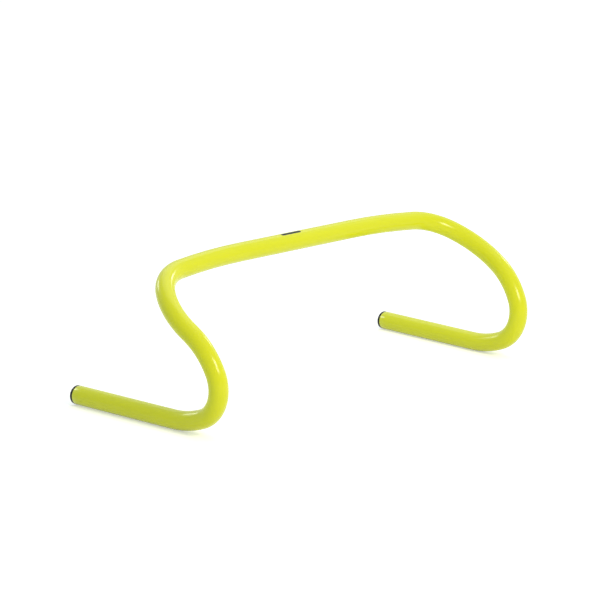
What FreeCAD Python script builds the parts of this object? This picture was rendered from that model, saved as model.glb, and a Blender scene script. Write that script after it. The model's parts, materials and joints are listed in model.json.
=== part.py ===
import FreeCAD, Part
import math
import os

# Low speed hurdle: a single plastic tube, heat-bent into a crossbar, two raked legs and two feet that lie on
# the floor, with a push-in plug closing the end of each foot. Millimetres and degrees. +X runs along the
# bar, +Z is up and +Y points the way the feet do. The origin is on the floor, in the middle of the footprint.

Vector = FreeCAD.Vector

# Tube section
tube_diameter = 19.0
tube_wall = 2.0

# Straight runs, in order from the bar to the end of a foot
bar_run = 158.5
leg_run = 4.0
foot_run = 129.5

# Shoulder, from the bar into the leg: the bar eases into a tighter bend, which eases out into the leg
bar_ease_radius = 620.0
bar_ease_angle = 8.0
shoulder_radius = 56.0
shoulder_exit_radius = 91.0
shoulder_exit_angle = 35.0

# Heel, from the leg into the foot: nearly a U-turn, tightest where it comes down to the floor
heel_entry_radius = 76.0
heel_entry_angle = 34.0
heel_radius = 35.0
heel_exit_radius = 110.0
heel_exit_angle = 21.0

# Directions: the leg's rake back from the upright and its lean in towards the middle, and the foot's turn out
leg_rake_angle = 59.0
leg_toe_in_angle = 3.0
foot_splay_angle = 2.0

# End plug: a thin head on the tube's end, and a hollow spigot whose barbed ribs grip the bore
plug_head_thickness = 3.2
plug_head_step = 0.15
plug_edge_radius = 0.6
plug_spigot_length = 14.0
plug_spigot_wall = 1.5
plug_lead_in = 0.8
plug_rib_count = 3
plug_rib_height = 0.6
plug_rib_land = 0.4
plug_rib_taper = 2.2
plug_first_rib = 2.0
plug_fit_clearance = 0.1

# Radii that the pieces share
tube_radius = tube_diameter / 2
bore_radius = tube_radius - tube_wall
rib_radius = bore_radius - plug_fit_clearance
spigot_radius = rib_radius - plug_rib_height
spigot_bore_radius = spigot_radius - plug_spigot_wall
plug_head_radius = tube_radius - plug_head_step

full_turn_angle = 360.0
mid_plane_point = Vector(0, 0, 0)
along_bar = Vector(1, 0, 0)
upward = Vector(0, 0, 1)


class TubeRun:
    """One half of the tube, laid run by run, with the point and the direction that it has reached."""

    def __init__(self, point, direction):
        self.point = point
        self.direction = direction
        self.solids = []

    def section(self):
        """Ring-shaped cross-section at the point reached, square to the run."""
        radii = (tube_radius, bore_radius)
        return Part.Face([Part.Wire(Part.makeCircle(radius, self.point, self.direction)) for radius in radii])

    def straight(self, length):
        """Adds a straight run."""
        travel = self.direction * length
        self.solids.append(self.section().extrude(travel))
        self.point = self.point + travel

    def arc(self, side, radius, angle):
        """Adds a bend of one radius towards a side, and gives that side as it is after the bend."""
        centre = self.point + side * radius
        axis = self.direction.cross(side)
        turn = FreeCAD.Rotation(axis, angle)
        self.solids.append(self.section().revolve(centre, axis, angle))
        self.point = centre + turn.multVec(self.point - centre)
        self.direction = turn.multVec(self.direction)
        return turn.multVec(side)

    def bend(self, target, entry, core_radius, leave):
        """Turns the run to a target direction in one plane: eased in, a tighter core, eased out."""
        side = (target - self.direction * self.direction.dot(target)).normalize()
        turn_angle = math.degrees(self.direction.getAngle(target))
        core = (core_radius, turn_angle - entry[1] - leave[1])
        for radius, angle in (entry, core, leave):
            side = self.arc(side, radius, angle)


def leg_direction():
    """Way that the right leg runs, down from the shoulder towards the rear and slightly inwards."""
    rake = math.radians(leg_rake_angle)
    toe_in = math.radians(leg_toe_in_angle)
    level = math.cos(toe_in)
    return Vector(-math.sin(toe_in), -math.sin(rake) * level, -math.cos(rake) * level)


def foot_direction():
    """Way that the right foot runs along the floor, forwards and slightly outwards."""
    splay = math.radians(foot_splay_angle)
    return Vector(math.sin(splay), math.cos(splay), 0)


def right_half():
    """Right half of the tube, from the middle of the bar to the end of the foot."""
    run = TubeRun(mid_plane_point, along_bar)
    run.straight(bar_run / 2)
    run.bend(leg_direction(), (bar_ease_radius, bar_ease_angle), shoulder_radius,
             (shoulder_exit_radius, shoulder_exit_angle))
    run.straight(leg_run)
    run.bend(foot_direction(), (heel_entry_radius, heel_entry_angle), heel_radius,
             (heel_exit_radius, heel_exit_angle))
    run.straight(foot_run)
    return run


def mirrored(shape):
    """Left-hand twin of a right-hand shape."""
    return shape.mirror(mid_plane_point, along_bar)


def bent_tube(run):
    """Whole tube in one piece: the right half's runs and their twins, joined end to end."""
    solids = run.solids + [mirrored(solid) for solid in run.solids]
    return solids[0].fuse(solids[1:]).removeSplitter()


def plug_outline():
    """Corners of the plug's half section as (radius, height), from the head's rim down to the spigot's tip."""
    corners = [(plug_head_radius, 0), (spigot_radius, 0)]
    rib_pitch = (plug_spigot_length - plug_first_rib) / plug_rib_count
    for number in range(plug_rib_count):
        shoulder = -plug_first_rib - number * rib_pitch
        land_end = shoulder - plug_rib_land
        corners += [(spigot_radius, shoulder), (rib_radius, shoulder), (rib_radius, land_end)]
        corners += [(spigot_radius, land_end - plug_rib_taper)]
    tip = -plug_spigot_length
    corners += [(spigot_radius, tip + plug_lead_in), (spigot_radius - plug_lead_in, tip)]
    corners += [(spigot_bore_radius, tip), (spigot_bore_radius, 0), (0, 0)]
    return corners


def end_plug():
    """Plug on the upright axis: its head stands on the ground plane and its spigot hangs below."""
    edge_centre = Vector(plug_head_radius - plug_edge_radius, 0, plug_head_thickness - plug_edge_radius)
    face_rim = edge_centre + upward * plug_edge_radius
    side_rim = edge_centre + along_bar * plug_edge_radius
    slant = (along_bar + upward).normalize()
    crown = Vector(0, 0, plug_head_thickness)
    points = [side_rim] + [Vector(radius, 0, height) for radius, height in plug_outline()] + [crown, face_rim]
    edges = [Part.makeLine(start, end) for start, end in zip(points, points[1:])]
    edges.append(Part.Arc(face_rim, edge_centre + slant * plug_edge_radius, side_rim).toShape())
    return Part.Face(Part.Wire(edges)).revolve(mid_plane_point, upward, full_turn_angle)


def seated_plug(run):
    """Plug pushed home in the end of the right foot."""
    plug = end_plug()
    plug.Placement = FreeCAD.Placement(run.point, FreeCAD.Rotation(upward, run.direction))
    return plug


def hurdle():
    """Every piece by name, standing on the floor about the middle of the footprint."""
    run = right_half()
    plug = seated_plug(run)
    pieces = {"bent_tube": bent_tube(run), "left_end_plug": mirrored(plug), "right_end_plug": plug}
    box = Part.makeCompound(list(pieces.values())).optimalBoundingBox(False)
    for shape in pieces.values():
        shape.translate(Vector(-box.Center.x, -box.Center.y, -box.ZMin))
    return pieces


os.makedirs("parts", exist_ok=True)
for name, shape in hurdle().items():
    shape.exportStep(f"parts/{name}.step")
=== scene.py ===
"""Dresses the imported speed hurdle: a glossy lime tube and two black end plugs, in a pale studio.

Lengths are metres and angles degrees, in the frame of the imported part: +X along the crossbar, +Y the way the
feet point and +Z up, with the origin on the floor in the middle of the footprint.
"""
import json
import logging
import math
from abc import ABC, abstractmethod
from dataclasses import dataclass, field
from enum import Enum

import bpy
from mathutils import Matrix, Vector


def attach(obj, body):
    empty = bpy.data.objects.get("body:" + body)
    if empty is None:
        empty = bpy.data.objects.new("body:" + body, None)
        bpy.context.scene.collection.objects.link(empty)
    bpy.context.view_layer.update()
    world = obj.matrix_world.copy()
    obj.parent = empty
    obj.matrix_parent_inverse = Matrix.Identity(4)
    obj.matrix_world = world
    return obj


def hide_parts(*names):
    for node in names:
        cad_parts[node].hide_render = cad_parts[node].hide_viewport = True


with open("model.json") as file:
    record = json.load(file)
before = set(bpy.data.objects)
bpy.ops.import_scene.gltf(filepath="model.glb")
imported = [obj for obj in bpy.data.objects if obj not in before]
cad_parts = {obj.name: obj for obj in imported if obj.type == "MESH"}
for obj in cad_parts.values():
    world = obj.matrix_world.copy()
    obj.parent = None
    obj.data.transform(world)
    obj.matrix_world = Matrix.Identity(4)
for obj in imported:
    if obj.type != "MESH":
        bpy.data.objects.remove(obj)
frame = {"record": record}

LOG = logging.getLogger("speed_hurdle")
BODY = "root"

Colour = tuple[float, float, float]
Point = tuple[float, float, float]
Range = tuple[float, float]
Corner = tuple[float, float]
Socket = bpy.types.NodeSocket
Sockets = bpy.types.NodeOutputs
Feed = Socket | float | int | str | tuple | Vector
Feeds = dict[str | int, Feed]

WHITE: Colour = (1.0, 1.0, 1.0)
FADE_IN: Range = (0.0, 1.0)
FADE_OUT: Range = (1.0, 0.0)
NOISE_MIDDLE: Range = (0.3, 0.7)
UP = Vector((0.0, 0.0, 1.0))


class Side(Enum):
    """Half of the hurdle, with the sign of its place along the bar."""

    LEFT = -1
    RIGHT = 1


class Slot(Enum):
    """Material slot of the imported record."""

    TUBE = "tube_plastic"
    PLUG = "plug_plastic"


class SurfaceData(Enum):
    """Vector that a piece's mesh carries at each point for its material."""

    UNBENT = "unbent"
    PULL = "bend_pull"


def opaque(colour: Colour) -> tuple[float, float, float, float]:
    """Adds a full alpha to a colour."""
    return (*colour, 1.0)


class NodeBench:
    """Places and wires the nodes of one tree, so that a finish reads as a recipe."""

    def __init__(self, tree: bpy.types.NodeTree) -> None:
        """Takes the tree to work on."""
        self.tree = tree

    def add(self, kind: str, feeds: Feeds | None = None, **options: object) -> bpy.types.Node:
        """Adds a node.

        Args:
            kind: Blender's name for the type of node.
            feeds: what each input gets, by its name or number: another node's socket, or a value.
            options: the node's own settings.

        Returns:
            The new node.
        """
        node = self.tree.nodes.new(kind)
        for name, value in options.items():
            setattr(node, name, value)
        for key, value in (feeds or {}).items():
            self.feed(node.inputs[key], value)
        return node

    def feed(self, socket: Socket, value: Feed) -> None:
        """Links a socket to another, or sets its value.

        Args:
            socket: the input.
            value: the output to link it to, or the value to hold.
        """
        if isinstance(value, Socket):
            self.tree.links.new(value, socket)
        else:
            socket.default_value = value

    def maths(self, operation: str, *terms: Feed) -> Socket:
        """Works out one sum of up to three terms."""
        return self.add("ShaderNodeMath", dict(enumerate(terms)), operation=operation).outputs[0]

    def vector_maths(self, operation: str, *terms: Feed) -> Sockets:
        """Works out one sum of one or two vectors, and gives all the node's outputs."""
        return self.add("ShaderNodeVectorMath", dict(enumerate(terms)), operation=operation).outputs

    def remap(self, value: Feed, source: Range, target: Range) -> Socket:
        """Carries a value from one range to another, held at both ends and eased between them.

        Args:
            value: value to carry.
            source: range that it comes from.
            target: range that it goes to.

        Returns:
            The result's socket.
        """
        feeds = dict(enumerate((value, *source, *target)))
        return self.add("ShaderNodeMapRange", feeds, interpolation_type="SMOOTHSTEP").outputs[0]

    def noise(self, vector: Feed, scale: Feed, detail: float = 2.0) -> Socket:
        """Gives an even noise from 0 to 1.

        Args:
            vector: coordinates, in metres.
            scale: cells per metre.
            detail: how many finer layers it has.

        Returns:
            The noise's socket.
        """
        feeds = {"Vector": vector, "Scale": scale, "Detail": detail}
        return self.add("ShaderNodeTexNoise", feeds).outputs["Fac"]

    def stretched(self, vector: Feed, scale: Point) -> Socket:
        """Scales coordinates by a factor for each axis."""
        return self.add("ShaderNodeMapping", {"Vector": vector, "Scale": scale}).outputs[0]

    def parts(self, vector: Feed) -> Sockets:
        """Takes a vector apart into X, Y and Z."""
        return self.add("ShaderNodeSeparateXYZ", {0: vector}).outputs

    def mixed(self, share: Feed, first: Feed, second: Feed) -> Socket:
        """Blends two colours.

        Args:
            share: share of the second colour, from 0 to 1.
            first: colour at 0.
            second: colour at 1.

        Returns:
            The blend's socket.
        """
        node = self.add("ShaderNodeMix", {0: share, 6: first, 7: second}, data_type="RGBA")
        return node.outputs[2]

    def blended(self, share: Feed, first: Feed, second: Feed) -> Socket:
        """Blends two values, of which the second has the given share."""
        return self.add("ShaderNodeMix", {0: share, 2: first, 3: second}).outputs[0]

    def object_place(self) -> Socket:
        """Reads object coordinates."""
        return self.add("ShaderNodeTexCoord").outputs["Object"]

    def carried(self, data: SurfaceData) -> Socket:
        """Reads a vector that the mesh carries."""
        return self.add("ShaderNodeAttribute", attribute_name=data.value).outputs["Vector"]


class ShaderGroup(ABC):
    """Surface effect that more than one finish uses, built once as a node group.

    Attributes:
        name: the group's name.
        takes: names of its inputs, besides the coordinates.
        gives: names of its outputs.
    """

    name = "effect"
    takes: tuple[str, ...] = ()
    gives: tuple[str, ...] = ()

    def tree(self) -> bpy.types.NodeTree:
        """Finds the group, or builds it at the first use.

        Returns:
            The group's node tree.
        """
        found = bpy.data.node_groups.get(self.name)
        if found:
            return found
        tree = bpy.data.node_groups.new(self.name, "ShaderNodeTree")
        tree.interface.new_socket("Vector", in_out="INPUT", socket_type="NodeSocketVector")
        for in_out, names in (("INPUT", self.takes), ("OUTPUT", self.gives)):
            for name in names:
                tree.interface.new_socket(name, in_out=in_out, socket_type="NodeSocketFloat")
        bench = NodeBench(tree)
        taken = bench.add("NodeGroupInput").outputs
        bench.add("NodeGroupOutput", self.recipe(bench, taken))
        return tree

    @abstractmethod
    def recipe(self, bench: NodeBench, taken: Sockets) -> Feeds:
        """Builds the inside of the group.

        Args:
            bench: the group's own tree.
            taken: sockets of the group's inputs.

        Returns:
            What each output of the group gets.
        """

    def placed(self, bench: NodeBench, feeds: Feeds) -> Sockets:
        """Places the group in a material, with what its inputs get there, and gives its outputs."""
        return bench.add("ShaderNodeGroup", feeds, node_tree=self.tree()).outputs


class PlasticSkin(ShaderGroup):
    """Skin of a formed plastic: broad clouds in the pigment, and a slow waver of the surface.

    Attributes:
        cloud_detail: finer layers of the clouds.
        waver_detail: finer layers of the waver.
    """

    name = "plastic_skin"
    takes = ("Cloud Scale", "Waver Scale")
    gives = ("Cloud", "Waver")
    cloud_detail = 3.0
    waver_detail = 1.0

    def recipe(self, bench: NodeBench, taken: Sockets) -> Feeds:
        """Builds the inside of the group.

        Args:
            bench: the group's own tree.
            taken: sockets of the group's inputs.

        Returns:
            What each output of the group gets.
        """
        cloud = bench.noise(taken["Vector"], taken["Cloud Scale"], self.cloud_detail)
        waver = bench.noise(taken["Vector"], taken["Waver Scale"], self.waver_detail)
        return {"Cloud": cloud, "Waver": waver}


class HandlingMarks(ShaderGroup):
    """Faint rubs and hair scratches that handling and the floor leave on a plastic.

    Attributes:
        scratch_stretch: how much finer the scratches are along each axis.
        scratch_detail: finer layers of the scratches.
        rub_range: part of the noise over which the rubs come in.
        scratch_range: part of the noise over which the scratches come in.
    """

    name = "handling_marks"
    takes = ("Scale", "Amount")
    gives = ("Mask",)
    scratch_stretch: Point = (9.0, 1.0, 1.0)
    scratch_detail = 4.0
    rub_range: Range = (0.52, 0.72)
    scratch_range: Range = (0.60, 0.66)

    def recipe(self, bench: NodeBench, taken: Sockets) -> Feeds:
        """Builds the inside of the group.

        Args:
            bench: the group's own tree.
            taken: sockets of the group's inputs.

        Returns:
            What each output of the group gets.
        """
        rubs = bench.remap(bench.noise(taken["Vector"], taken["Scale"]), self.rub_range, FADE_IN)
        drawn_out = bench.stretched(taken["Vector"], self.scratch_stretch)
        fine = bench.noise(drawn_out, taken["Scale"], self.scratch_detail)
        scratches = bench.remap(fine, self.scratch_range, FADE_IN)
        both = bench.maths("MULTIPLY", rubs, scratches)
        return {"Mask": bench.maths("MULTIPLY", both, taken["Amount"])}


def new_material(name: str) -> tuple[bpy.types.Material, NodeBench]:
    """Starts an empty node material.

    Args:
        name: the material's name.

    Returns:
        The material, and the bench of its tree.
    """
    material = bpy.data.materials.new(name)
    material.use_nodes = True
    material.node_tree.nodes.clear()
    return material, NodeBench(material.node_tree)


@dataclass(frozen=True)
class InkMark:
    """Plain dash of dark ink on top of the bar, near its middle.

    Attributes:
        middle: place of its middle along the bar.
        half_length: half of its length, round ends left out.
        half_width: half of its width round the tube.
        turn: how far round the section it lies, from the rear of the bar up towards the top.
        softness: width over which its edge fades.
        ink: colour of the ink.
        roughness: roughness of the dry ink.
    """

    middle: float = -0.0115
    half_length: float = 0.0117
    half_width: float = 0.0019
    turn: float = 77.0
    softness: float = 0.0004
    ink: Colour = (0.006, 0.014, 0.017)
    roughness: float = 0.65

    def mask(self, bench: NodeBench, place: Socket, axis: Vector, radius: float) -> Socket:
        """Finds where the ink lies.

        Args:
            bench: the tube material's tree.
            place: object coordinates.
            axis: a point on the axis of the bar.
            radius: the tube's radius.

        Returns:
            Socket of the mask, 1 on the ink.
        """
        from_axis = bench.parts(bench.vector_maths("SUBTRACT", place, axis)["Vector"])
        rearward = bench.maths("MULTIPLY", from_axis["Y"], -1.0)
        angle = bench.maths("ARCTAN2", from_axis["Z"], rearward)
        past_turn = bench.maths("SUBTRACT", angle, math.radians(self.turn))
        round_tube = bench.maths("MULTIPLY", past_turn, radius)
        along = bench.maths("ABSOLUTE", bench.maths("SUBTRACT", from_axis["X"], self.middle))
        past_end = bench.maths("MAXIMUM", bench.maths("SUBTRACT", along, self.half_length), 0.0)
        offset = bench.add("ShaderNodeCombineXYZ", {"X": past_end, "Y": round_tube}).outputs[0]
        away = bench.vector_maths("LENGTH", offset)["Value"]
        edge = (self.half_width - self.softness, self.half_width + self.softness)
        return bench.remap(away, edge, FADE_OUT)


@dataclass(frozen=True)
class PlasticFinish:
    """What the hurdle's two plastics have in common.

    Attributes:
        roughness: lowest and highest roughness of the skin.
        refraction: index of refraction.
        reflection: specular level, where 0.5 mirrors just as the index of refraction says.
        cloud_scale: clouds in the pigment per metre.
        waver_scale: wavers of the surface per metre.
        waver_height: height of those wavers.
    """

    roughness: Range
    refraction: float
    reflection: float
    cloud_scale: float
    waver_scale: float
    waver_height: float

    def skin(self, bench: NodeBench, vector: Socket) -> Sockets:
        """Places the plastic's skin, on the coordinates that it follows, and gives its cloud and waver."""
        feeds = {"Vector": vector, "Cloud Scale": self.cloud_scale, "Waver Scale": self.waver_scale}
        return PlasticSkin().placed(bench, feeds)

    def close(self, bench: NodeBench, colour: Socket, gloss: Socket, relief: Socket) -> None:
        """Ends the material with its relief, its shader and its output.

        Args:
            bench: the material's tree.
            colour: socket of the colour.
            gloss: socket of the roughness.
            relief: socket of the fine relief, in metres.
        """
        bump = {"Height": relief, "Distance": 1.0, "Strength": 1.0}
        normal = bench.add("ShaderNodeBump", bump).outputs[0]
        feeds = {"Base Color": colour, "Roughness": gloss, "Normal": normal}
        feeds |= {"IOR": self.refraction, "Specular IOR Level": self.reflection}
        surface = bench.add("ShaderNodeBsdfPrincipled", feeds).outputs[0]
        bench.add("ShaderNodeOutputMaterial", {"Surface": surface})


@dataclass(frozen=True)
class TubeFinish(PlasticFinish):
    """Glossy extruded PVC in fluorescent lime yellow, drawn smooth over the bends.

    Attributes:
        lime: main colour.
        deep_lime: colour of the clouds in the pigment.
        stretched_lime: colour where a bend has stretched the wall.
        scuffed_lime: colour of a scuff.
        scuff_roughness: roughness of a scuff.
        draw_line_stretch: lines of the extrusion per metre across and along the tube.
        draw_line_height: height of those lines.
        pull_range: bend over which the stretched colour comes in.
        floor_reach: height up to which the floor scuffs the tube.
        scuff_scale: scuffs per metre.
        mark: the ink on the bar.
    """

    roughness: Range = (0.18, 0.23)
    refraction: float = 1.53
    reflection: float = 0.35
    cloud_scale: float = 22.0
    waver_scale: float = 130.0
    waver_height: float = 0.00006
    lime: Colour = (0.755, 0.780, 0.005)
    deep_lime: Colour = (0.735, 0.765, 0.004)
    stretched_lime: Colour = (0.765, 0.785, 0.007)
    scuffed_lime: Colour = (0.62, 0.64, 0.20)
    scuff_roughness: float = 0.55
    draw_line_stretch: Point = (800.0, 800.0, 5.0)
    draw_line_height: float = 0.000004
    pull_range: Range = (0.02, 0.26)
    floor_reach: float = 0.0012
    scuff_scale: float = 420.0
    mark: InkMark = InkMark()

    def material(self, bar_axis: Vector, radius: float) -> bpy.types.Material:
        """Builds the material.

        Args:
            bar_axis: a point on the axis of the bar.
            radius: the tube's radius.

        Returns:
            The finished material.
        """
        material, bench = new_material("lime_pvc")
        place = bench.object_place()
        unbent = bench.carried(SurfaceData.UNBENT)
        skin = self.skin(bench, unbent)
        draw_lines = bench.noise(bench.stretched(unbent, self.draw_line_stretch), 1.0)
        stretch = self.stretch(bench)
        scuffs = self.scuffs(bench, place)
        ink = self.mark.mask(bench, place, bar_axis, radius)
        colour = bench.mixed(skin["Cloud"], opaque(self.lime), opaque(self.deep_lime))
        tints = (stretch, self.stretched_lime), (scuffs, self.scuffed_lime), (ink, self.mark.ink)
        for share, tint in tints:
            colour = bench.mixed(share, colour, opaque(tint))
        gloss = bench.remap(draw_lines, NOISE_MIDDLE, self.roughness)
        for share, roughness in (scuffs, self.scuff_roughness), (ink, self.mark.roughness):
            gloss = bench.blended(share, gloss, roughness)
        waver = bench.maths("MULTIPLY", skin["Waver"], self.waver_height)
        relief = bench.maths("MULTIPLY_ADD", draw_lines, self.draw_line_height, waver)
        self.close(bench, colour, gloss, relief)
        return material

    def stretch(self, bench: NodeBench) -> Socket:
        """Finds the outer side of the bends, where the wall was stretched.

        Args:
            bench: the material's tree.

        Returns:
            Socket of the mask.
        """
        normal = bench.add("ShaderNodeNewGeometry").outputs["Normal"]
        pull = bench.carried(SurfaceData.PULL)
        inward = bench.vector_maths("DOT_PRODUCT", normal, pull)["Value"]
        return bench.remap(bench.maths("MULTIPLY", inward, -1.0), self.pull_range, FADE_IN)

    def scuffs(self, bench: NodeBench, place: Socket) -> Socket:
        """Finds the scuffs along the undersides of the feet.

        Args:
            bench: the material's tree.
            place: object coordinates.

        Returns:
            Socket of the mask.
        """
        near_floor = bench.remap(bench.parts(place)["Z"], (0.0, self.floor_reach), FADE_OUT)
        feeds = {"Vector": place, "Scale": self.scuff_scale, "Amount": near_floor}
        return HandlingMarks().placed(bench, feeds)["Mask"]


@dataclass(frozen=True)
class PlugFinish(PlasticFinish):
    """Satin black polyethylene with a fine moulded grain.

    Attributes:
        name: the material's name.
        black: main colour.
        worn_black: colour of the clouds in the pigment.
        rubbed_black: colour of a rub.
        grain_scale: grains per metre.
        grain_height: height of the grain.
        rub_scale: rubs per metre.
        rub_amount: how strong the rubs are.
    """

    roughness: Range = (0.38, 0.52)
    refraction: float = 1.51
    reflection: float = 0.2
    cloud_scale: float = 160.0
    waver_scale: float = 260.0
    waver_height: float = 0.00003
    name: str = "black_polyethylene"
    black: Colour = (0.008, 0.010, 0.011)
    worn_black: Colour = (0.016, 0.019, 0.020)
    rubbed_black: Colour = (0.045, 0.048, 0.050)
    grain_scale: float = 2600.0
    grain_height: float = 0.000012
    rub_scale: float = 380.0
    rub_amount: float = 0.6

    def material(self) -> bpy.types.Material:
        """Builds the material.

        Returns:
            The finished material.
        """
        material, bench = new_material(self.name)
        place = bench.object_place()
        skin = self.skin(bench, place)
        feeds = {"Vector": place, "Scale": self.rub_scale, "Amount": self.rub_amount}
        rubs = HandlingMarks().placed(bench, feeds)["Mask"]
        grain = bench.noise(place, self.grain_scale)
        colour = bench.mixed(skin["Cloud"], opaque(self.black), opaque(self.worn_black))
        colour = bench.mixed(rubs, colour, opaque(self.rubbed_black))
        gloss = bench.remap(skin["Cloud"], NOISE_MIDDLE, self.roughness)
        waver = bench.maths("MULTIPLY", skin["Waver"], self.waver_height)
        relief = bench.maths("MULTIPLY_ADD", grain, self.grain_height, waver)
        self.close(bench, colour, gloss, relief)
        return material


def seen_directly(bench: NodeBench) -> Socket:
    """Tells what the camera sees, by itself or mirrored, from what only lights the object.

    Args:
        bench: tree of a floor or of the world.

    Returns:
        Socket that is 1 for a ray of the camera, a reflection or clear glass.
    """
    rays = bench.add("ShaderNodeLightPath").outputs
    mirrored = bench.maths("MAXIMUM", rays["Is Glossy Ray"], rays["Is Transmission Ray"])
    return bench.maths("MAXIMUM", rays["Is Camera Ray"], mirrored)


@dataclass(frozen=True)
class FloorFinish:
    """Pale studio paper, which the camera sees as white apart from the shadow on it.

    Attributes:
        paper: main colour.
        paler_paper: colour of its flecks.
        fleck_scale: flecks per metre.
        glow: strength of its white near the hurdle and far from it.
        glow_reach: distances from the middle over which that strength changes.
    """

    paper: Colour = (0.86, 0.86, 0.86)
    paler_paper: Colour = (0.90, 0.90, 0.90)
    fleck_scale: float = 900.0
    glow: Range = (0.42, 0.62)
    glow_reach: Range = (0.6, 3.0)

    def material(self) -> bpy.types.Material:
        """Builds the material.

        Returns:
            The finished material.
        """
        material, bench = new_material("studio_paper")
        place = bench.object_place()
        fleck = bench.noise(place, self.fleck_scale)
        colour = bench.mixed(fleck, opaque(self.paper), opaque(self.paler_paper))
        paper = bench.add("ShaderNodeBsdfDiffuse", {"Color": colour}).outputs[0]
        from_middle = bench.vector_maths("LENGTH", place)["Value"]
        strength = bench.remap(from_middle, self.glow_reach, self.glow)
        glow = bench.add("ShaderNodeEmission", {"Strength": strength}).outputs[0]
        lit = bench.add("ShaderNodeAddShader", {0: paper, 1: glow}).outputs[0]
        feeds = {0: seen_directly(bench), 1: paper, 2: lit}
        surface = bench.add("ShaderNodeMixShader", feeds).outputs[0]
        bench.add("ShaderNodeOutputMaterial", {"Surface": surface})
        return material


@dataclass(frozen=True)
class Arc:
    """Stretch of a bend with one radius.

    Attributes:
        radius: radius of the tube's axis.
        angle: how far the stretch turns.
    """

    radius: float
    angle: float


@dataclass(frozen=True)
class Station:
    """One place along the tube.

    Attributes:
        point: place on the tube's axis.
        pull: direction of the bend's centre, as long as the bend is tight.
    """

    point: Vector
    pull: Vector


@dataclass
class TubeRoute:
    """Axis of the tube, laid run by run from the middle of the bar to the end of the right foot.

    Attributes:
        bar_run: straight part of the bar.
        leg_run: straight part of a leg.
        foot_run: straight part of a foot.
        bar_ease: slow start of the shoulder, out of the bar.
        shoulder_radius: radius of the shoulder's tight core.
        shoulder_exit: end of the shoulder, into the leg.
        heel_entry: start of the heel, out of the leg.
        heel_radius: radius of the heel's tight core.
        heel_exit: slow end of the heel, into the foot.
        leg_rake: angle of the legs from the upright.
        leg_toe_in: angle of the legs towards the middle.
        foot_splay: angle of the feet away from the middle.
        straight_step: longest step along a straight run.
        bend_step: largest turn of one step round a bend.
        point: how far the axis is laid.
        direction: way that the axis runs there.
        stations: places laid so far.
    """

    bar_run: float = 0.1585
    leg_run: float = 0.004
    foot_run: float = 0.1295
    bar_ease: Arc = Arc(0.620, 8.0)
    shoulder_radius: float = 0.056
    shoulder_exit: Arc = Arc(0.091, 35.0)
    heel_entry: Arc = Arc(0.076, 34.0)
    heel_radius: float = 0.035
    heel_exit: Arc = Arc(0.110, 21.0)
    leg_rake: float = 59.0
    leg_toe_in: float = 3.0
    foot_splay: float = 2.0
    straight_step: float = 0.010
    bend_step: float = 2.5
    point: Vector = field(default_factory=Vector)
    direction: Vector = field(default_factory=lambda: Vector((1.0, 0.0, 0.0)))
    stations: list[Station] = field(default_factory=list)

    def leg_direction(self) -> Vector:
        """Gives the way that the right leg runs, down from the shoulder.

        Returns:
            The direction, of length 1.
        """
        rake, toe_in = math.radians(self.leg_rake), math.radians(self.leg_toe_in)
        level = math.cos(toe_in)
        return Vector((-math.sin(toe_in), -math.sin(rake) * level, -math.cos(rake) * level))

    def foot_direction(self) -> Vector:
        """Gives the way that the right foot runs along the floor."""
        splay = math.radians(self.foot_splay)
        return Vector((math.sin(splay), math.cos(splay), 0.0))

    def straight(self, length: float) -> None:
        """Lays a straight run.

        Args:
            length: length of the run.
        """
        steps = math.ceil(length / self.straight_step)
        travel = self.direction * length
        points = [self.point + travel * (step / steps) for step in range(steps)]
        self.stations += [Station(point, Vector()) for point in points]
        self.point = self.point + travel

    def arc(self, side: Vector, arc: Arc) -> Vector:
        """Lays a bend of one radius.

        Args:
            side: direction of the bend's centre.
            arc: radius and angle of the bend.

        Returns:
            Direction of the centre at the end of the bend.
        """
        centre = self.point + side * arc.radius
        axis = self.direction.cross(side)
        spoke = self.point - centre
        steps = math.ceil(arc.angle / self.bend_step)
        angles = [math.radians(arc.angle) * step / steps for step in range(steps + 1)]
        *turns, last = [Matrix.Rotation(angle, 3, axis) for angle in angles]
        self.stations += [Station(centre + turn @ spoke, turn @ side / arc.radius) for turn in turns]
        self.point = centre + last @ spoke
        self.direction = last @ self.direction
        return last @ side

    def bend(self, target: Vector, entry: Arc, core_radius: float, leave: Arc) -> None:
        """Turns the tube to a new direction in one plane.

        Args:
            target: direction to turn to.
            entry: first stretch of the bend.
            core_radius: radius of the stretch between the first and the last.
            leave: last stretch of the bend.
        """
        side = (target - self.direction * self.direction.dot(target)).normalized()
        turn = math.degrees(self.direction.angle(target))
        for arc in (entry, Arc(core_radius, turn - entry.angle - leave.angle), leave):
            side = self.arc(side, arc)

    def lay(self, foot_middle: Vector) -> None:
        """Lays the right half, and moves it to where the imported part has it.

        Args:
            foot_middle: middle of the right foot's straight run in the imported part.
        """
        self.straight(self.bar_run / 2)
        self.bend(self.leg_direction(), self.bar_ease, self.shoulder_radius, self.shoulder_exit)
        self.straight(self.leg_run)
        self.bend(self.foot_direction(), self.heel_entry, self.heel_radius, self.heel_exit)
        self.straight(self.foot_run)
        self.stations.append(Station(self.point, Vector()))
        shift = foot_middle - (self.point - self.direction * (self.foot_run / 2))
        shift.x = 0.0
        self.point = self.point + shift
        self.stations = [Station(station.point + shift, station.pull) for station in self.stations]

    def whole(self) -> list[Station]:
        """Mirrors the right half.

        Returns:
            The stations of both halves, from the end of the left foot to the end of the right.
        """
        flip = Matrix.Diagonal((-1.0, 1.0, 1.0))
        left = [Station(flip @ station.point, flip @ station.pull) for station in self.stations[:0:-1]]
        return left + self.stations


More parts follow.
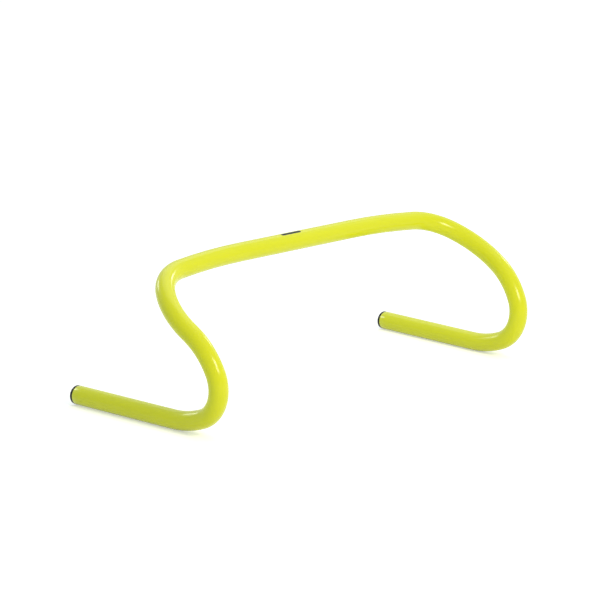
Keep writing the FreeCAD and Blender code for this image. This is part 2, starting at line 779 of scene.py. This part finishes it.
class ShapeTree(ABC):
    """Geometry Nodes tree that shapes a piece from a chain of edges.

    Attributes:
        name: the tree's name.
        takes: name and type of each size that it takes.
    """

    name = "shape"
    takes: tuple[tuple[str, str], ...] = ()

    def __init__(self) -> None:
        """Builds the tree, with its named inputs and its one output."""
        self.tree = bpy.data.node_groups.new(self.name, "GeometryNodeTree")
        face = self.tree.interface
        face.new_socket("Geometry", in_out="INPUT", socket_type="NodeSocketGeometry")
        self.keys = {
            name: face.new_socket(name, in_out="INPUT", socket_type=kind).identifier
            for name, kind in (*self.takes, ("Finish", "NodeSocketMaterial"))
        }
        face.new_socket("Geometry", in_out="OUTPUT", socket_type="NodeSocketGeometry")
        bench = NodeBench(self.tree)
        taken = bench.add("NodeGroupInput").outputs
        chain = bench.add("GeometryNodeMeshToCurve", {"Mesh": taken["Geometry"]}).outputs[0]
        shaped = self.recipe(bench, taken, chain)
        whole = bench.add("GeometryNodeRealizeInstances", {"Geometry": shaped}).outputs[0]
        dressing = {"Geometry": whole, "Material": taken["Finish"]}
        dressed = bench.add("GeometryNodeSetMaterial", dressing).outputs[0]
        bench.add("NodeGroupOutput", {"Geometry": dressed})

    @abstractmethod
    def recipe(self, bench: NodeBench, taken: Sockets, chain: Socket) -> Socket:
        """Builds the middle of the tree.

        Args:
            bench: the tree's bench.
            taken: sockets of the tree's inputs.
            chain: the chain of edges, as a curve.

        Returns:
            Socket of the shaped mesh.
        """

    def shape(
        self, piece: bpy.types.Object, sizes: dict[str, float | int], finish: bpy.types.Material
    ) -> None:
        """Turns a chain of edges into the finished shape, as a plain mesh.

        Args:
            piece: object whose mesh is the chain, with any modifiers that finish the shape.
            sizes: values of the tree's inputs.
            finish: material of the shape.
        """
        nodes = piece.modifiers.new(self.name, "NODES")
        nodes.node_group = self.tree
        for name, value in sizes.items():
            nodes[self.keys[name]] = value
        nodes[self.keys["Finish"]] = finish
        piece.modifiers.move(len(piece.modifiers) - 1, 0)
        graph = bpy.context.evaluated_depsgraph_get()
        chain = piece.data
        shaped = bpy.data.meshes.new_from_object(piece.evaluated_get(graph), depsgraph=graph)
        piece.modifiers.clear()
        piece.data = shaped
        shaped.name = piece.name
        bpy.data.meshes.remove(chain)


class SweptSection(ShapeTree):
    """Round section swept along the chain, which keeps each point's place before the tube was bent."""

    name = "swept_section"
    takes = (("Radius", "NodeSocketFloat"), ("Sides", "NodeSocketInt"))

    def recipe(self, bench: NodeBench, taken: Sockets, chain: Socket) -> Socket:
        """Builds the middle of the tree.

        Args:
            bench: the tree's bench.
            taken: sockets of the tree's inputs.
            chain: the chain of edges, as a curve.

        Returns:
            Socket of the shaped mesh.
        """
        length = bench.add("GeometryNodeSplineParameter").outputs["Length"]
        rail, along = self.captured(bench, chain, "FLOAT", length)
        circle = {"Resolution": taken["Sides"], "Radius": taken["Radius"]}
        ring = bench.add("GeometryNodeCurvePrimitiveCircle", circle).outputs[0]
        position = bench.add("GeometryNodeInputPosition").outputs[0]
        section, place = self.captured(bench, ring, "VECTOR", position)
        sweep = {"Curve": rail, "Profile Curve": section}
        swept = bench.add("GeometryNodeCurveToMesh", sweep).outputs[0]
        across = bench.parts(place)
        straightened = {"X": across["X"], "Y": across["Y"], "Z": along}
        unbent = bench.add("ShaderNodeCombineXYZ", straightened).outputs[0]
        store = bench.add("GeometryNodeStoreNamedAttribute", data_type="FLOAT_VECTOR", domain="POINT")
        stored = {"Geometry": swept, "Name": SurfaceData.UNBENT.value, "Value": unbent}
        for key, value in stored.items():
            bench.feed(store.inputs[key], value)
        return bench.add("GeometryNodeSetShadeSmooth", {"Geometry": store.outputs[0]}).outputs[0]

    def captured(self, bench: NodeBench, curve: Socket, kind: str, value: Socket) -> tuple[Socket, Socket]:
        """Keeps a value at each point of a curve for later nodes.

        Args:
            bench: the tree's bench.
            curve: the curve.
            kind: type of the value.
            value: value to keep.

        Returns:
            Sockets of the curve and of the kept value.
        """
        node = bench.add("GeometryNodeCaptureAttribute")
        node.capture_items.new(kind, "Kept")
        bench.feed(node.inputs[0], curve)
        bench.feed(node.inputs[1], value)
        return node.outputs[0], node.outputs[1]


class TurnedOutline(ShapeTree):
    """Half outline turned round the Z axis into a closed body."""

    name = "turned_outline"
    takes = (
        ("Hub Radius", "NodeSocketFloat"),
        ("Sides", "NodeSocketInt"),
        ("Merge Reach", "NodeSocketFloat"),
    )

    def recipe(self, bench: NodeBench, taken: Sockets, chain: Socket) -> Socket:
        """Builds the middle of the tree.

        Args:
            bench: the tree's bench.
            taken: sockets of the tree's inputs.
            chain: the chain of edges, as a curve.

        Returns:
            Socket of the shaped mesh.
        """
        circle = {"Resolution": taken["Sides"], "Radius": taken["Hub Radius"]}
        hub = bench.add("GeometryNodeCurvePrimitiveCircle", circle).outputs[0]
        turned = bench.add("GeometryNodeCurveToMesh", {"Curve": hub, "Profile Curve": chain}).outputs[0]
        merge = {"Geometry": turned, "Distance": taken["Merge Reach"]}
        closed = bench.add("GeometryNodeMergeByDistance", merge).outputs[0]
        return bench.add("GeometryNodeSetShadeSmooth", {"Geometry": closed}).outputs[0]


def chain_piece(name: str, points: list[Vector]) -> bpy.types.Object:
    """Starts a piece as a chain of edges.

    Args:
        name: the piece's name.
        points: points of the chain in order.

    Returns:
        The new object.
    """
    mesh = bpy.data.meshes.new(name)
    edges = [(start, start + 1) for start in range(len(points) - 1)]
    mesh.from_pydata(points, edges, [])
    piece = bpy.data.objects.new(name, mesh)
    bpy.context.scene.collection.objects.link(piece)
    return piece


def mount_place(name: str) -> Vector:
    """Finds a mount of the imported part.

    Args:
        name: the mount's name.

    Returns:
        Its place.
    """
    mounts = frame["record"]["mounts"]
    return Vector(next(mount["pos_m"] for mount in mounts if mount["name"] == name))


@dataclass
class BentTube:
    """The hurdle's one tube: crossbar, shoulders, legs, heels and feet.

    Attributes:
        radius: outer radius of the section.
        wall: thickness of the wall.
        sides: faces round the section.
        rim_round: rounding of the cut ends.
        rim_segments: faces across that rounding.
        sharp_angle: angle from which an edge stays crisp.
        route: the tube's axis.
        finish: the tube's plastic.
    """

    radius: float = 0.0095
    wall: float = 0.002
    sides: int = 72
    rim_round: float = 0.00025
    rim_segments: int = 2
    sharp_angle: float = 50.0
    route: TubeRoute = field(default_factory=TubeRoute)
    finish: TubeFinish = TubeFinish()

    def build(self) -> bpy.types.Object:
        """Sweeps the tube, gives it its wall and sets it in the frame.

        Returns:
            The tube's object.
        """
        self.route.lay(mount_place("right_foot_tube"))
        stations = self.route.whole()
        piece = chain_piece("lime_tube", [station.point for station in stations])
        pulls = piece.data.attributes.new(SurfaceData.PULL.value, "FLOAT_VECTOR", "POINT")
        for entry, station in zip(pulls.data, stations):
            entry.vector = station.pull * self.radius
        self.add_wall(piece)
        SweptSection().shape(piece, {"Radius": self.radius, "Sides": self.sides}, self.dress())
        piece.data.set_sharp_from_angle(angle=math.radians(self.sharp_angle))
        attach(piece, BODY)
        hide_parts("bent_tube")
        return piece

    def add_wall(self, piece: bpy.types.Object) -> None:
        """Adds the wall's thickness, inwards, and the rounding of the cut ends.

        Args:
            piece: the tube.
        """
        wall = piece.modifiers.new("wall", "SOLIDIFY")
        wall.thickness = self.wall
        wall.offset = -1.0
        wall.use_even_offset = True
        rims = piece.modifiers.new("rims", "BEVEL")
        rims.width = self.rim_round
        rims.segments = self.rim_segments
        rims.limit_method = "ANGLE"
        rims.angle_limit = math.radians(self.sharp_angle)

    def dress(self) -> bpy.types.Material:
        """Builds the tube's material."""
        return self.finish.material(self.route.stations[0].point, self.radius)


@dataclass
class EndPlug:
    """Push-in plug in the end of one foot: a thin head, and a hollow ribbed spigot inside the tube.

    Attributes:
        side: foot that it closes.
        head_radius: radius of the head.
        head_thickness: height of the head over the tube's end.
        edge_round: rounding of the head's outer edge.
        gate_radius: radius of the moulding gate's dimple in the head.
        gate_depth: depth of that dimple.
        spigot_length: how far the spigot reaches into the tube.
        rib_radius: radius of the ribs.
        rib_height: height of the ribs over the spigot.
        rib_land: flat top of a rib.
        rib_taper: length of a rib's slope.
        rib_count: number of ribs.
        first_rib: distance from the tube's end to the first rib.
        spigot_wall: thickness of the spigot's wall.
        lead_in: chamfer of the spigot's tip.
        round_steps: points on a rounded edge.
        sides: faces round the plug.
        hub_radius: radius of the circle that the outline is turned on.
        merge_reach: distance within which points on the axis become one.
        sharp_angle: angle from which an edge stays crisp.
        finish: the plug's plastic.
    """

    side: Side
    head_radius: float = 0.00935
    head_thickness: float = 0.0032
    edge_round: float = 0.0006
    gate_radius: float = 0.0012
    gate_depth: float = 0.0002
    spigot_length: float = 0.014
    rib_radius: float = 0.0074
    rib_height: float = 0.0006
    rib_land: float = 0.0004
    rib_taper: float = 0.0022
    rib_count: int = 3
    first_rib: float = 0.002
    spigot_wall: float = 0.0015
    lead_in: float = 0.0008
    round_steps: int = 6
    sides: int = 72
    hub_radius: float = 0.001
    merge_reach: float = 0.00001
    sharp_angle: float = 40.0
    finish: PlugFinish = PlugFinish()

    def head_outline(self) -> list[Corner]:
        """Draws the head's half outline.

        Returns:
            Corners as (radius, height), from the gate in the middle of the head to the tube's end.
        """
        top = self.head_thickness
        gate_floor = top - self.gate_depth
        gate_foot = self.gate_radius - self.gate_depth
        corners = [(0.0, gate_floor), (gate_foot, gate_floor), (self.gate_radius, top)]
        for step in range(self.round_steps + 1):
            turn = math.pi / 2 * step / self.round_steps
            reach = self.head_radius - self.edge_round + self.edge_round * math.sin(turn)
            corners.append((reach, top - self.edge_round + self.edge_round * math.cos(turn)))
        return corners + [(self.head_radius, 0.0)]

    def spigot_outline(self) -> list[Corner]:
        """Draws the spigot's half outline.

        Returns:
            Corners as (radius, height), from the tube's end over the ribs to the hollow's floor.
        """
        spigot_radius = self.rib_radius - self.rib_height
        corners = [(spigot_radius, 0.0)]
        pitch = (self.spigot_length - self.first_rib) / self.rib_count
        for number in range(self.rib_count):
            shoulder = -self.first_rib - number * pitch
            land_end = shoulder - self.rib_land
            corners += [(spigot_radius, shoulder), (self.rib_radius, shoulder)]
            corners += [(self.rib_radius, land_end), (spigot_radius, land_end - self.rib_taper)]
        tip = -self.spigot_length
        bore_radius = spigot_radius - self.spigot_wall
        corners += [(spigot_radius, tip + self.lead_in), (spigot_radius - self.lead_in, tip)]
        return corners + [(bore_radius, tip), (bore_radius, 0.0), (0.0, 0.0)]

    def build(self, route: TubeRoute, turning: TurnedOutline) -> bpy.types.Object:
        """Turns the plug and seats it in its foot.

        Args:
            route: the tube's axis, laid.
            turning: the tree that turns outlines.

        Returns:
            The plug's object.
        """
        name = f"{self.side.name.lower()}_plug"
        outline = self.head_outline() + self.spigot_outline()
        chain = [Vector((radius - self.hub_radius, -height, 0.0)) for radius, height in outline]
        piece = chain_piece(name, chain)
        sizes = {"Hub Radius": self.hub_radius, "Sides": self.sides, "Merge Reach": self.merge_reach}
        turning.shape(piece, sizes, self.dress())
        flip = Vector((self.side.value, 1.0, 1.0))
        seat = Matrix.Translation(route.point * flip)
        lean = UP.rotation_difference(route.direction * flip).to_matrix().to_4x4()
        piece.data.transform(seat @ lean)
        piece.data.set_sharp_from_angle(angle=math.radians(self.sharp_angle))
        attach(piece, BODY)
        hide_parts(f"{self.side.name.lower()}_end_plug")
        return piece

    def dress(self) -> bpy.types.Material:
        """Finds the plugs' material, or builds it for the first plug."""
        return bpy.data.materials.get(self.finish.name) or self.finish.material()


@dataclass(frozen=True)
class Lamp:
    """Square soft box that faces the hurdle.

    Attributes:
        name: the lamp's name.
        place: where it stands.
        size: length of its sides.
        power: its power in watts.
        colour: its colour.
    """

    name: str
    place: Point
    size: float
    power: float
    colour: Colour = WHITE


def outward(azimuth: float, elevation: float) -> Vector:
    """Gives the direction from the hurdle to something that stands round it.

    Args:
        azimuth: 0 looks along +Y, and 90 along -X.
        elevation: angle above the floor.

    Returns:
        The direction, of length 1.
    """
    turn, rise = math.radians(azimuth), math.radians(elevation)
    level = math.cos(rise)
    return Vector((math.sin(turn) * level, -math.cos(turn) * level, math.sin(rise)))


@dataclass
class Studio:
    """Pale floor, soft light and the camera.

    Attributes:
        floor_size: length of the floor's sides.
        lamps: the soft boxes.
        lamp_aim: point that the soft boxes face.
        sky: colour of the light from all round.
        sky_level: strength of that light.
        aim: point in the middle of the picture.
        azimuth: way that the camera stands.
        elevation: angle of the camera above the floor.
        distance: distance of the camera from the point that it aims at.
        focal_length: focal length of the lens in millimetres.
        sensor_width: width of the sensor in millimetres.
        floor_finish: the floor's paper.
    """

    floor_size: float = 60.0
    lamps: tuple[Lamp, ...] = (
        Lamp("key_box", place=(-0.22, -1.60, 1.10), size=0.52, power=13.5, colour=(1.12, 0.965, 0.89)),
        Lamp("top_box", place=(0.0, -0.52, 2.01), size=1.2, power=1.6),
        Lamp("side_box", place=(1.58, 0.0, 1.05), size=0.28, power=2.8),
        Lamp("wide_panel", place=(1.42, -0.52, 0.75), size=1.5, power=1.2),
        Lamp("rear_box", place=(0.70, 0.70, 1.80), size=1.7, power=7.4),
        Lamp("low_box", place=(-0.22, 1.54, 0.74), size=0.4, power=2.6),
    )
    lamp_aim: Point = (0.0, 0.0, 0.08)
    sky: Colour = (0.93, 1.06, 1.0)
    sky_level: float = 0.49
    aim: Point = (-0.07706, -0.06266, 0.10692)
    azimuth: float = -45.611
    elevation: float = 12.976
    distance: float = 2.61695
    focal_length: float = 163.017
    sensor_width: float = 36.0
    floor_finish: FloorFinish = FloorFinish()

    def build(self) -> None:
        """Builds the floor, the light and the camera."""
        self.lay_floor()
        self.hang_lamps()
        self.light_all_round()
        self.place_camera()

    def lay_floor(self) -> None:
        """Lays the floor."""
        half = self.floor_size / 2
        mesh = bpy.data.meshes.new("floor")
        signs = ((-1, -1), (1, -1), (1, 1), (-1, 1))
        mesh.from_pydata([Vector((x * half, y * half, 0.0)) for x, y in signs], [], [range(len(signs))])
        mesh.materials.append(self.floor_finish.material())
        floor = bpy.data.objects.new("floor", mesh)
        bpy.context.scene.collection.objects.link(floor)

    def hang_lamps(self) -> None:
        """Hangs the soft boxes."""
        for lamp in self.lamps:
            light = bpy.data.lights.new(lamp.name, "AREA")
            light.size = lamp.size
            light.energy = lamp.power
            light.color = lamp.colour
            box = bpy.data.objects.new(lamp.name, light)
            box.visible_camera = False
            self.stand(box, Vector(lamp.place), Vector(self.lamp_aim))

    def light_all_round(self) -> None:
        """Sets the light from all round, which the camera sees as white."""
        world = bpy.data.worlds.new("studio")
        world.use_nodes = True
        world.node_tree.nodes.clear()
        bench = NodeBench(world.node_tree)
        light = {"Color": opaque(self.sky), "Strength": self.sky_level}
        sky = bench.add("ShaderNodeBackground", light).outputs[0]
        white = bench.add("ShaderNodeBackground", {"Color": opaque(WHITE)}).outputs[0]
        feeds = {0: seen_directly(bench), 1: sky, 2: white}
        surface = bench.add("ShaderNodeMixShader", feeds).outputs[0]
        bench.add("ShaderNodeOutputWorld", {"Surface": surface})
        bpy.context.scene.world = world

    def place_camera(self) -> None:
        """Stands the camera at the picture's viewpoint."""
        camera = bpy.data.cameras.new("camera")
        camera.lens = self.focal_length
        camera.sensor_width = self.sensor_width
        viewer = bpy.data.objects.new("camera", camera)
        aim = Vector(self.aim)
        self.stand(viewer, aim + outward(self.azimuth, self.elevation) * self.distance, aim)
        bpy.context.scene.camera = viewer

    def stand(self, thing: bpy.types.Object, place: Vector, aim: Vector) -> None:
        """Stands a lamp or the camera so that it faces a point.

        Args:
            thing: lamp or camera.
            place: where it stands.
            aim: point that it faces.
        """
        thing.location = place
        thing.rotation_mode = "QUATERNION"
        thing.rotation_quaternion = (aim - place).to_track_quat("-Z", "Y")
        bpy.context.scene.collection.objects.link(thing)


def main() -> None:
    """Builds the hurdle's pieces and the studio."""
    logging.basicConfig(level=logging.INFO, format="%(name)s: %(message)s")
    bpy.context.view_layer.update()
    bpy.context.scene.view_settings.view_transform = "Standard"
    tube = BentTube()
    pieces = [tube.build()]
    turning = TurnedOutline()
    pieces += [EndPlug(side).build(tube.route, turning) for side in Side]
    for piece in pieces:
        LOG.info("%s: %d faces", piece.name, len(piece.data.polygons))
    Studio().build()
    LOG.info("studio: floor, light and camera")


if __name__ == "__main__":
    main()
